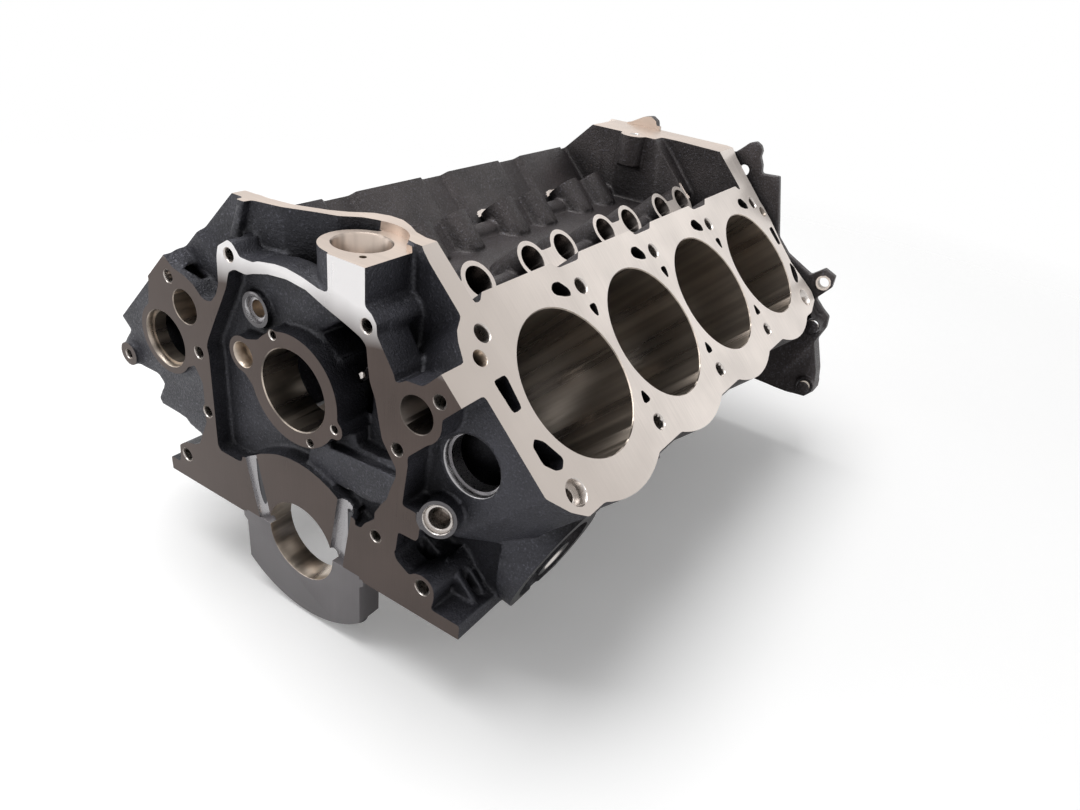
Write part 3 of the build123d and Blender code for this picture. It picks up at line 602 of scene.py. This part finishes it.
def soften(casting, plugs, cast):
    """Join the plugs into the casting, and round its edges as a sand mould does."""
    activate(casting)
    for plug in plugs:
        plug.select_set(True)
    bpy.ops.object.join()
    casting.data.remesh_voxel_size = cast.grid
    casting.data.use_remesh_fix_poles = False
    bpy.ops.object.voxel_remesh()
    apply_modifier(casting, "SMOOTH", factor=0.5, iterations=cast.rounds)
    quads = len(casting.data.polygons)
    apply_modifier(casting, "DECIMATE", ratio=min(1.0, cast.faces / (2 * quads)))
    casting.data.materials.clear()
    casting.data.materials.append(cast_iron_finish(cast.colour, cast.oiled))
    for face in casting.data.polygons:
        face.material_index = 0


def machine(casting, shop):
    """Cut the casting with every tool at once; each cut face takes its tool's finish."""
    apply_modifier(casting, "BOOLEAN", operation="DIFFERENCE", operand_type="COLLECTION",
                   collection=shop.tools, solver="MANIFOLD", material_mode="TRANSFER")
    shop.clear()
    activate(casting)
    bpy.ops.object.shade_smooth_by_angle(angle=radians(35))
    flat = [slot.name.startswith("milled") for slot in casting.data.materials]
    for face in casting.data.polygons:
        if flat[face.material_index]:
            face.use_smooth = False


# Places in the solid's frame. Bare numbers in brackets are millimetres, for spot_at.
FILTER_PAD = (spot_at(163, 74, 28), Vector((0.93, -0.01, -0.36)).normalized())
SENDER_SEAT = (spot_at(116.5, 5, 77), Vector((0.30, -0.93, 0.20)).normalized())
OIL_RING_Y = 8 * MM
LIFTER_V = 91.4 * MM
LIFTER_TOP = 161.6 * MM
LIFTER_STEPS = (-23.4 * MM, 21.2 * MM)
LIFTER_RADIUS = 11.1 * MM
LIFTER_DEPTH = 34 * MM
HEAD_BOLT_V = 53.5 * MM
HEAD_BOLT_RADIUS = 5.7 * MM
HEAD_DOWEL_RADIUS = 8.3 * MM
OIL_FEED_V = 41.3 * MM
OIL_FEEDS_PAST_COLUMNS = (-12.5 * MM, 11.8 * MM)
DECK_MIDDLE_Y = 248.8 * MM
DECK_MILL = (240 * MM, 538 * MM)
SIDE_PLUG_V = -73 * MM
SIDE_PLUG_HEIGHT = 168 * MM
CORE_PLUG_Z = 113.6
CORE_PLUG_RADIUS = 20.5 * MM
LEFT_CORE_PLUG = (-127.6, 0)
RIGHT_CORE_PLUG = (127.6, 20)
WATER_OUTLET_X = 101
WATER_OUTLET_Z = 146
COVER_HOLES = ((62.9, 187.5), (117, 161), (87.5, 117), (71, 43), (-50.4, 196.4), (-115, 163.6), (-91.4, 116),
               (-89.3, 70))
MOUNT_HOLES = ((111, 22.5, 5.5), (-120.7, 19.3, 5.0), (-177, 84, 3.5))
CAM_PLATE_HOLES = ((36, 108.5), (14, 89), (-15.5, 155))
CAM_OIL_HOLE = (-45, 0, 131)
OIL_RING = Vector((-40.1 * MM, OIL_RING_Y, 161.5 * MM))
OIL_GROOVES = (((-46.5, 52), (-35, -1)), ((43.5, 52), (34, -1)))
# A gap in the left water jacket's front wall, which is filled.
JACKET_GAP = (-101, 16, 174)
PAD_CUTTER_RADIUS = 27 * MM
PAD_FRONT = -6 * MM
PAD_RIGHT = 66 * MM
PAD_BACK = 37.6 * MM
PAD_CLEARANCE = 12 * MM
RAIL_BEHIND = 7.0 * MM
RAIL_BESIDE_LUG = ((-0.12, -0.0535), (-0.0155, 0.074))
PAD_OIL_HOLE = (49.5, 11.5, 221)
RAIL_HOLE = (-20, 470, 226.5)
VALLEY_BOSS = (28, 27, 134)
CAP_SEAT_HALF = 56.5 * MM
CAP_SEAT_DROP = 14 * MM
SEAL_RADIUS = 52.2 * MM
FLANGE_HOLES = ((193, 120), (199, 80), (209, 14))
FLANGE_TOP_HOLES = ((84, 207.5), (-84, 191))
FLANGE_THICKNESS = 23 * MM
FLANGE_HOLE_RADIUS = 5.5 * MM
FILTER_PAD_RADIUS = 46 * MM
FILTER_HOLE_RADIUS = 9 * MM
SENDER_SEAT_RADIUS = 14 * MM
SENDER_MOUTH_RADIUS = 9.3 * MM
SENDER_THREAD_RADIUS = 7.2 * MM
PAN_HOLES_A_SIDE = 6


class ENGINE_OT_casting(bpy.types.Operator):
    """Build the block casting and machine it"""

    bl_idname = "engine.casting"
    bl_label = "Block Casting"

    def execute(self, context):
        cast = context.scene.engine_casting
        cut = context.scene.engine_machining
        shop = Workshop()
        self.cut = cut
        self.deck = milled_finish("milled_deck", cut.deck, 0.36, (0, 1, 0), metallic=0.4, near=cut.near)
        # The front face's crest colour is a painted reflection near its top.
        self.front = milled_finish("milled_front", cut.front, 0.30, (1, 0, 0), crest=cut.crest)
        self.back = milled_finish("milled_rear", cut.front, 0.32, (1, 0, 0))
        self.rail = milled_finish("milled_rail", cut.rail, 0.36, (0, 1, 0))
        self.hole = hole_finish("bright_hole", cut.hole)
        self.face = hole_finish("turned_face", cut.face)
        self.groove = hole_finish("oil_groove", cut.groove)
        self.deep = hole_finish("lifter_bore", cut.deep)
        # Line bores take broad bands of painted sheen from bored_finish.
        self.line = bored_finish("bored_line", (Vector((1, 0, 0)), UP), REAR, cut.bore, cut.streak_and_sheen)
        casting = raw_casting("block_casting", "block_casting_finished", self.faces_left(), cast.allowance)
        shop.plug(spot_at(*JACKET_GAP), FRONT, 12 * MM, 10 * MM, proud=0)
        for bank in BANKS:
            self.bores(shop, bank)
            self.deck_holes(shop, bank)
            self.lifters(shop, bank)
        self.top(shop)
        self.line_bores(shop)
        self.front_end(shop)
        self.side_ports(shop)
        self.rear_end(shop)
        self.underside(shop)
        soften(casting, shop.plugs, cast)
        machine(casting, shop)
        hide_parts("block_casting")
        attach(casting, "root")
        return {"FINISHED"}

    def faces_left(self):
        """Planes that carry the milling allowance: a normal, and the distance along it."""
        planes = [(FRONT, 0.0), (FRONT, -OIL_RING_Y), (REAR, REAR_END), (DOWN, 0.0)]
        planes += [(UP, MOUNTS[name]["pos_m"][2]) for name in ("rear_valley_rail", "distributor_pad")]
        planes += [(DOWN, -MOUNTS["pan_rail"]["pos_m"][2])]
        for bank in BANKS:
            planes += [(bank.normal, bank.height), (bank.normal, LIFTER_TOP)]
        for centre, normal in (FILTER_PAD, SENDER_SEAT):
            planes.append((normal, centre.dot(normal)))
        return planes

    def bores(self, shop, bank):
        """Hone the four cylinders of a bank."""
        cut = self.cut
        # Each cylinder wall takes broad bands of painted sheen, with fine streaks of polish.
        wall = bored_finish(
            f"honed_{bank.side}", (REAR, bank.across), bank.normal, cut.bore, cut.streak_and_sheen, HONED_BANDS)
        for number, y in enumerate(bank.bores, start=1):
            name = f"cylinder_{bank.side}_{number}"
            depth = length_of(name)
            shop.drill(bank.at(y, 0), bank.normal, radius_of(name), depth + 1.5 * MM, wall, cut.chamfer, 144,
                       plug=depth - 1.5 * MM)

    def deck_holes(self, shop, bank):
        """Mill a deck, and tap, dowel and drill it."""
        cut = self.cut
        for y in bank.columns:
            for v in (-HEAD_BOLT_V, HEAD_BOLT_V):
                shop.tap(bank.at(y, v), bank.normal, HEAD_BOLT_RADIUS, 40 * MM, cut.pitch, self.hole,
                         cut.chamfer)
        for y in (bank.columns[0], bank.columns[-1]):
            shop.drill(bank.at(y, -HEAD_BOLT_V), bank.normal, HEAD_DOWEL_RADIUS, 8 * MM, self.hole,
                       cut.chamfer)
        for y, past in zip((bank.columns[0], bank.columns[-1]), OIL_FEEDS_PAST_COLUMNS):
            shop.drill(bank.at(y + past, OIL_FEED_V), bank.normal, 5.0 * MM, 12 * MM, self.line, 0.4 * MM)
        shop.mill(bank.at(DECK_MIDDLE_Y, 0), bank.normal, DECK_MILL, self.deck)

    def lifters(self, shop, bank):
        """Face and bore the lifter bosses of a bank."""
        places = [y + step for y in bank.bores for step in LIFTER_STEPS]
        middle = (places[0] + places[-1]) / 2
        reach = places[-1] - places[0] + 31 * MM
        shop.mill(bank.at(middle, 92 * MM, LIFTER_TOP), bank.normal, (32.6 * MM, reach), self.deck, 8 * MM)
        for y in places:
            shop.drill(bank.at(y, LIFTER_V, LIFTER_TOP), bank.normal, LIFTER_RADIUS, LIFTER_DEPTH, self.deep,
                       0.6 * MM, plug=LIFTER_DEPTH - 2 * MM, reach=6 * MM)
        for y in bank.columns[1:-1]:
            shop.drill(bank.at(y, SIDE_PLUG_V, SIDE_PLUG_HEIGHT), -bank.across, CORE_PLUG_RADIUS, 14 * MM,
                       self.hole, self.cut.chamfer, 64)

    def top(self, shop):
        """Mill the valley's top rails and the distributor pad, and drill them."""
        rail = MOUNTS["rear_valley_rail"]["pos_m"][2]
        pad = MOUNTS["distributor_pad"]["pos_m"][2]
        rear = REAR_END - RAIL_BEHIND
        before_lug = rear - 1.5 * MM
        shop.slot(Vector((-0.15, -0.02, rail)), Vector((0.15, before_lug, rail + 30 * MM)), self.rail)
        for left, right in RAIL_BESIDE_LUG:
            high = Vector((right, rear + 6 * MM, rail + 8 * MM))
            shop.slot(Vector((left, rear - 4 * MM, rail)), high, self.rail)
        bore = Vector(MOUNTS["distributor_bore"]["pos_m"])
        over = pad + PAD_CLEARANCE
        left = bore.x - PAD_CUTTER_RADIUS
        shop.slot(Vector((left, PAD_FRONT, pad)), Vector((PAD_RIGHT, bore.y, over)), self.rail)
        shop.slot(Vector((bore.x, PAD_FRONT, pad)), Vector((PAD_RIGHT, PAD_BACK, over)), self.rail)
        shop.spot(Vector((bore.x, bore.y, pad)), UP, PAD_CUTTER_RADIUS, self.rail, PAD_CLEARANCE, 96)
        # The distributor bore's darker and lighter bands are painted sheen.
        turned = bored_finish("distributor_bore", (Vector((1, 0, 0)), REAR), UP, self.cut.dim, self.cut.rail,
                              TURNED_BANDS)
        depth = length_of("distributor_bore")
        shop.drill(bore, UP, radius_of("distributor_bore"), depth, turned, 1.2 * MM, 96)
        shop.drill(spot_at(*PAD_OIL_HOLE), UP, 2.2 * MM, 12 * MM, self.line, 0, 24)
        shop.drill(spot_at(*RAIL_HOLE), UP, 4.5 * MM, 20 * MM, self.hole, 0.6 * MM, 32)
        shop.spot(spot_at(*VALLEY_BOSS), UP, 10.0 * MM, self.face, 5 * MM)
        shop.drill(spot_at(*VALLEY_BOSS), UP, 5.5 * MM, 18 * MM, self.hole, 0.6 * MM, 32, reach=4 * MM)

    def line_bores(self, shop):
        """Bore the crankshaft and camshaft lines through the webs."""
        crank, cam = radius_of("crank_bore"), radius_of("cam_bore")
        axis = Vector(MOUNTS["cam_bore"]["pos_m"])
        shop.drill(Vector((0, 0, 0)), FRONT, crank, length_of("crank_bore"), self.line, 0, 96, plug=0)
        shop.drill(axis, FRONT, cam, length_of("cam_bore") + 10 * MM, self.line, self.cut.chamfer, 96, plug=0)
        shop.plug(Vector((0, 0, 0)), FRONT, crank, 19 * MM, over=1.2 * MM)
        shop.plug(axis, FRONT, cam, 29.5 * MM)
        for y in WEBS:
            inset = WEB_HALF - 0.6 * MM
            shop.plug(REAR * (y - inset), FRONT, crank, 2 * inset, proud=0, over=1.2 * MM)
            shop.plug(REAR * (y - inset) + axis, FRONT, cam, 2 * inset, proud=0)
        shop.plug(Vector((0, WEBS[-1], axis.z)), FRONT, cam, REAR_END - WEBS[-1], proud=0)
        seat = length_of("crank_bore")
        foot = Vector((-CAP_SEAT_HALF, -6 * MM, -CAP_SEAT_DROP))
        shop.slot(foot, Vector((CAP_SEAT_HALF, seat, 0)), self.line)
        shop.drill(Vector((0, REAR_END, 0)), REAR, SEAL_RADIUS, REAR_END - seat, self.line, 0, 128, plug=0)

    def front_end(self, shop):
        """Mill the front face, and bore, drill and tap it."""
        cut = self.cut
        shop.mill(Vector((0, 0, 0.1)), FRONT, (0.6, 0.6), self.front)
        for (x, y), wall in ((LEFT_CORE_PLUG, self.line), (RIGHT_CORE_PLUG, self.groove)):
            mouth = spot_at(x, y, CORE_PLUG_Z)
            shop.plug(mouth, FRONT, CORE_PLUG_RADIUS, 14 * MM, proud=0)
            shop.drill(mouth, FRONT, CORE_PLUG_RADIUS, 5 * MM, wall, 0.7 * MM, 96, plug=0)
            shop.drill(mouth, FRONT, CORE_PLUG_RADIUS - 1.5 * MM, 18 * MM, wall, 0, 96, plug=0)
        for x in (-WATER_OUTLET_X, WATER_OUTLET_X):
            shop.drill(spot_at(x, 0, WATER_OUTLET_Z), FRONT, 12 * MM, 38 * MM, self.line, 0.5 * MM)
        for x, z in COVER_HOLES:
            shop.tap(spot_at(x, 0, z), FRONT, 4.2 * MM, 16 * MM, 1.3 * MM, self.hole, cut.chamfer)
        for x, z, radius in MOUNT_HOLES:
            shop.tap(spot_at(x, 0, z), FRONT, radius * MM, 18 * MM, 1.3 * MM, self.hole, cut.chamfer)
        for x, z in CAM_PLATE_HOLES:
            shop.tap(spot_at(x, 0, z), FRONT, 3 * MM, 12 * MM, 1.1 * MM, self.hole, 0.5 * MM)
        shop.drill(spot_at(*CAM_OIL_HOLE), FRONT, 8.5 * MM, 11 * MM, self.line, cut.chamfer)
        shop.drill(spot_at(*CAM_OIL_HOLE), FRONT, 5 * MM, 40 * MM, self.line, 0, plug=0)
        shop.spot(OIL_RING, FRONT, 12.6 * MM, self.face, 6 * MM)
        shop.drill(OIL_RING, FRONT, 8 * MM, 3 * MM, self.groove, 1.2 * MM, 64, plug=8 * MM, reach=4 * MM)
        shop.drill(OIL_RING, FRONT, 6 * MM, 12 * MM, self.line, 0, 48, plug=0, reach=4 * MM)
        for top, foot in OIL_GROOVES:
            high, low = spot_at(top[0], 0, top[1]), spot_at(foot[0], 0, foot[1])
            along = (low - high).normalized()
            run = (low - high).length
            shop.drill(high, -along, 6.6 * MM, run + 4 * MM, self.groove, 0, 48, plug=0)
            shop.plug(high + along * 3 * MM, -along, 9.5 * MM, run - 5 * MM, proud=0)

    def side_ports(self, shop):
        """Face the filter pad and the oil pressure port on the right, and drill them."""
        centre, normal = FILTER_PAD
        shop.spot(centre, normal, FILTER_PAD_RADIUS, self.face, 8 * MM, 96)
        shop.drill(centre, normal, FILTER_HOLE_RADIUS, 30 * MM, self.hole, 0.8 * MM, reach=6 * MM)
        centre, normal = SENDER_SEAT
        shop.spot(centre, normal, SENDER_SEAT_RADIUS, self.face, 8 * MM)
        shop.drill(centre, normal, SENDER_MOUTH_RADIUS, 2.5 * MM, self.hole, 0.8 * MM, 64, plug=24 * MM,
                   reach=6 * MM)
        inner = centre - normal * 2.4 * MM
        shop.tap(inner, normal, SENDER_THREAD_RADIUS, 20 * MM, 1.5 * MM, self.hole, 0.4 * MM, 8 * MM)

    def rear_end(self, shop):
        """Mill the rear face, and drill the flange and spot-face its bosses."""
        shop.mill(Vector((0, REAR_END, 0.1)), REAR, (0.6, 0.6), self.back)
        for x, z in FLANGE_HOLES:
            for side in (-1, 1):
                face = Vector((side * x * MM, REAR_END - FLANGE_THICKNESS, z * MM))
                shop.spot(face, FRONT, 8.2 * MM, self.face, 5 * MM, 48)
                shop.drill(face, FRONT, FLANGE_HOLE_RADIUS, 26 * MM, self.line, 0.5 * MM, 48, plug=20 * MM,
                           reach=5 * MM)
        for x, z in FLANGE_TOP_HOLES:
            mouth = Vector((x * MM, REAR_END, z * MM))
            shop.drill(mouth, REAR, FLANGE_HOLE_RADIUS, 12 * MM, self.line, 0.5 * MM, 48, plug=6 * MM)

    def underside(self, shop):
        """Mill the pan rail, and tap its bolt holes."""
        height = MOUNTS["pan_rail"]["pos_m"][2]
        pattern = MOUNTS["pan_corner_bolts"]["dims"]
        shop.slot(Vector((-0.3, -0.05, height - 60 * MM)), Vector((0.3, 0.6, height)), self.front)
        x, length = pattern["spacing_x_mm"] * MM / 2, pattern["spacing_y_mm"] * MM
        start = MOUNTS["pan_corner_bolts"]["pos_m"][1] - length / 2
        for step in range(PAN_HOLES_A_SIDE):
            y = start + step * length / (PAN_HOLES_A_SIDE - 1)
            for side in (-1, 1):
                mouth = Vector((side * x, y, height))
                shop.tap(mouth, DOWN, 3.4 * MM, 9 * MM, 1.25 * MM, self.hole, 0.5 * MM)


def eased(node, name, width):
    """Copy of a solid with its flat faces joined and its sharp edges eased."""
    piece = copy_of(frame["nodes"][node], name)
    apply_modifier(piece, "WELD", merge_threshold=0.01 * MM)
    select_faces(piece, lambda face: True)
    bpy.ops.mesh.dissolve_limited(angle_limit=radians(1))
    leave_edit()
    apply_modifier(piece, "BEVEL", width=width, segments=2, limit_method="ANGLE", angle_limit=radians(40))
    activate(piece)
    bpy.ops.object.shade_smooth_by_angle(angle=radians(35))
    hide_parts(node)
    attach(piece, "root")
    return piece


class ENGINE_OT_caps(bpy.types.Operator):
    """Finish the main bearing caps and their bolts"""

    bl_idname = "engine.caps"
    bl_label = "Main Caps"

    def execute(self, context):
        cut = context.scene.engine_machining
        cap = milled_finish("cap_iron", cut.cap, 0.42, (1, 0, 0), metallic=0.5)
        bolt = milled_finish("bolt_steel", cut.bolt, 0.35, (0, 0, 1))
        line = bpy.data.materials["bored_line"]
        bore = radius_of("crank_bore")
        for name in frame["nodes"]:
            if not name.startswith("main_cap"):
                continue
            bolts = name.endswith("bolts")
            piece = eased(name, name + "_finished", (0.3 if bolts else 0.9) * MM)
            piece.data.materials.clear()
            piece.data.materials.append(bolt if bolts else cap)
            piece.data.materials.append(line)
            for face in piece.data.polygons:
                away = (face.center.x ** 2 + face.center.z ** 2) ** 0.5
                face.material_index = 1 if not bolts and away < bore + 0.5 * MM else 0
        return {"FINISHED"}


CAMERA_PLACE = (0.34995, -0.29945, 0.37681)
CAMERA_AXES = (
    (0.82981996, 0.54650553, 0.11282971),
    (-0.36821141, 0.38431073, 0.84659649),
    (0.41930799, -0.74406785, 0.52013829),
)
CAMERA_SHIFT = (0.0006, 0.0284)
FLOOR_MIDDLE = (0.1, 0.26, 0)
FLOOR_SOLID = 0.55
FLOOR_FADED = 1.5
LAMP_TARGET = Vector((0, 0.26, 0.1))
KEY_PLACE = Vector((-0.7, 0.0, 2.8))
SIDE_PLACE = Vector((-1.5, -1.0, 0.9))


class ENGINE_OT_stage(bpy.types.Operator):
    """Build the floor, the lamps, the world and the camera"""

    bl_idname = "engine.stage"
    bl_label = "Stage"

    def execute(self, context):
        stage = context.scene.engine_stage
        self.floor(stage)
        self.lamps(stage)
        self.world(stage)
        self.camera(stage)
        context.scene.view_settings.view_transform = "Standard"
        return {"FINISHED"}

    def floor(self, stage):
        """Pale floor under the lowest point of the part."""
        deselect()
        bpy.ops.mesh.primitive_plane_add(size=12, location=(0, 0, CAD_BOX[0][2]))
        floor = settle(bpy.context.object)
        floor.name = "floor"
        finish = Finish("floor_paper", roughness=0.8)
        tone = finish.noise(3.0, 2.0)
        finish.feed("Base Color", finish.blend(tone, rgba(stage.floor, 0.99), rgba(stage.floor, 1.01)))
        away = finish.node("ShaderNodeVectorMath", {"operation": "DISTANCE"}, finish.place(), FLOOR_MIDDLE,
                           output=1)
        finish.feed("Alpha", finish.ramp(away, FLOOR_SOLID, FLOOR_FADED, 1.0, 0.0))
        seen = finish.node("ShaderNodeLightPath", {})
        finish.feed("Emission Color", finish.blend(seen, (0, 0, 0, 1), rgba((stage.glow,) * 3)))
        finish.shader.inputs["Emission Strength"].default_value = 1.0
        floor.data.materials.append(finish.material)

    def lamps(self, stage):
        """Large soft lamps over the part and on its left."""
        for name, power, size, place in (
            ("key", stage.key_power, 2.0, KEY_PLACE),
            ("side", stage.side_power, 1.2, SIDE_PLACE),
        ):
            light = bpy.data.lights.new(name, "AREA")
            light.energy = power
            light.size = size
            lamp = bpy.data.objects.new(name, light)
            lamp.location = place
            lamp.rotation_euler = (LAMP_TARGET - place).to_track_quat("-Z", "Y").to_euler()
            bpy.context.scene.collection.objects.link(lamp)

    def world(self, stage):
        """White backdrop for the camera and for gloss, and a softer sky that lights the part."""
        world = bpy.data.worlds.new("studio")
        bpy.context.scene.world = world
        world.use_nodes = True
        tree = world.node_tree
        sky = tree.nodes["Background"]
        sky.inputs["Color"].default_value = (1, 1, 1, 1)
        path = tree.nodes.new("ShaderNodeLightPath")
        seen = path.outputs["Is Camera Ray"]
        for ray in ("Is Glossy Ray", "Is Transmission Ray"):
            either = tree.nodes.new("ShaderNodeMath")
            either.operation = "MAXIMUM"
            tree.links.new(seen, either.inputs[0])
            tree.links.new(path.outputs[ray], either.inputs[1])
            seen = either.outputs[0]
        strength = tree.nodes.new("ShaderNodeMapRange")
        strength.inputs["To Min"].default_value = stage.sky
        strength.inputs["To Max"].default_value = 1.0
        tree.links.new(seen, strength.inputs["Value"])
        tree.links.new(strength.outputs["Result"], sky.inputs["Strength"])

    def camera(self, stage):
        """Camera at the photograph's angle."""
        lens = bpy.data.cameras.new("camera")
        lens.lens = stage.lens
        lens.shift_x, lens.shift_y = CAMERA_SHIFT
        lens.clip_start = 0.01
        camera = bpy.data.objects.new("camera", lens)
        camera.matrix_world = Matrix.Translation(CAMERA_PLACE) @ Matrix(CAMERA_AXES).transposed().to_4x4()
        bpy.context.scene.collection.objects.link(camera)
        bpy.context.scene.camera = camera


class ENGINE_PT_panel(bpy.types.Panel):
    """Settings and steps of the engine block"""

    bl_label = "Engine Block"
    bl_idname = "ENGINE_PT_panel"
    bl_space_type = "VIEW_3D"
    bl_region_type = "UI"
    bl_category = "Engine Block"

    def draw(self, context):
        for group in ("engine_casting", "engine_machining", "engine_stage"):
            settings = getattr(context.scene, group)
            column = self.layout.column()
            for name in settings.__annotations__:
                column.prop(settings, name)
        for step in STEPS:
            self.layout.operator(step.bl_idname)


STEPS = (ENGINE_OT_casting, ENGINE_OT_caps, ENGINE_OT_stage)
GROUPS = (
    ("engine_casting", CastingSettings),
    ("engine_machining", MachiningSettings),
    ("engine_stage", StageSettings),
)


def register():
    """Register the classes and put their settings on the scene."""
    for name, group in GROUPS:
        bpy.utils.register_class(group)
        setattr(bpy.types.Scene, name, bpy.props.PointerProperty(type=group))
    for step in STEPS:
        bpy.utils.register_class(step)
    bpy.utils.register_class(ENGINE_PT_panel)


def unregister():
    """Undo register."""
    bpy.utils.unregister_class(ENGINE_PT_panel)
    for step in reversed(STEPS):
        bpy.utils.unregister_class(step)
    for name, group in reversed(GROUPS):
        delattr(bpy.types.Scene, name)
        bpy.utils.unregister_class(group)


def main():
    """Build everything in order."""
    register()
    bpy.ops.engine.casting()
    bpy.ops.engine.caps()
    bpy.ops.engine.stage()


if __name__ == "__main__":
    main()
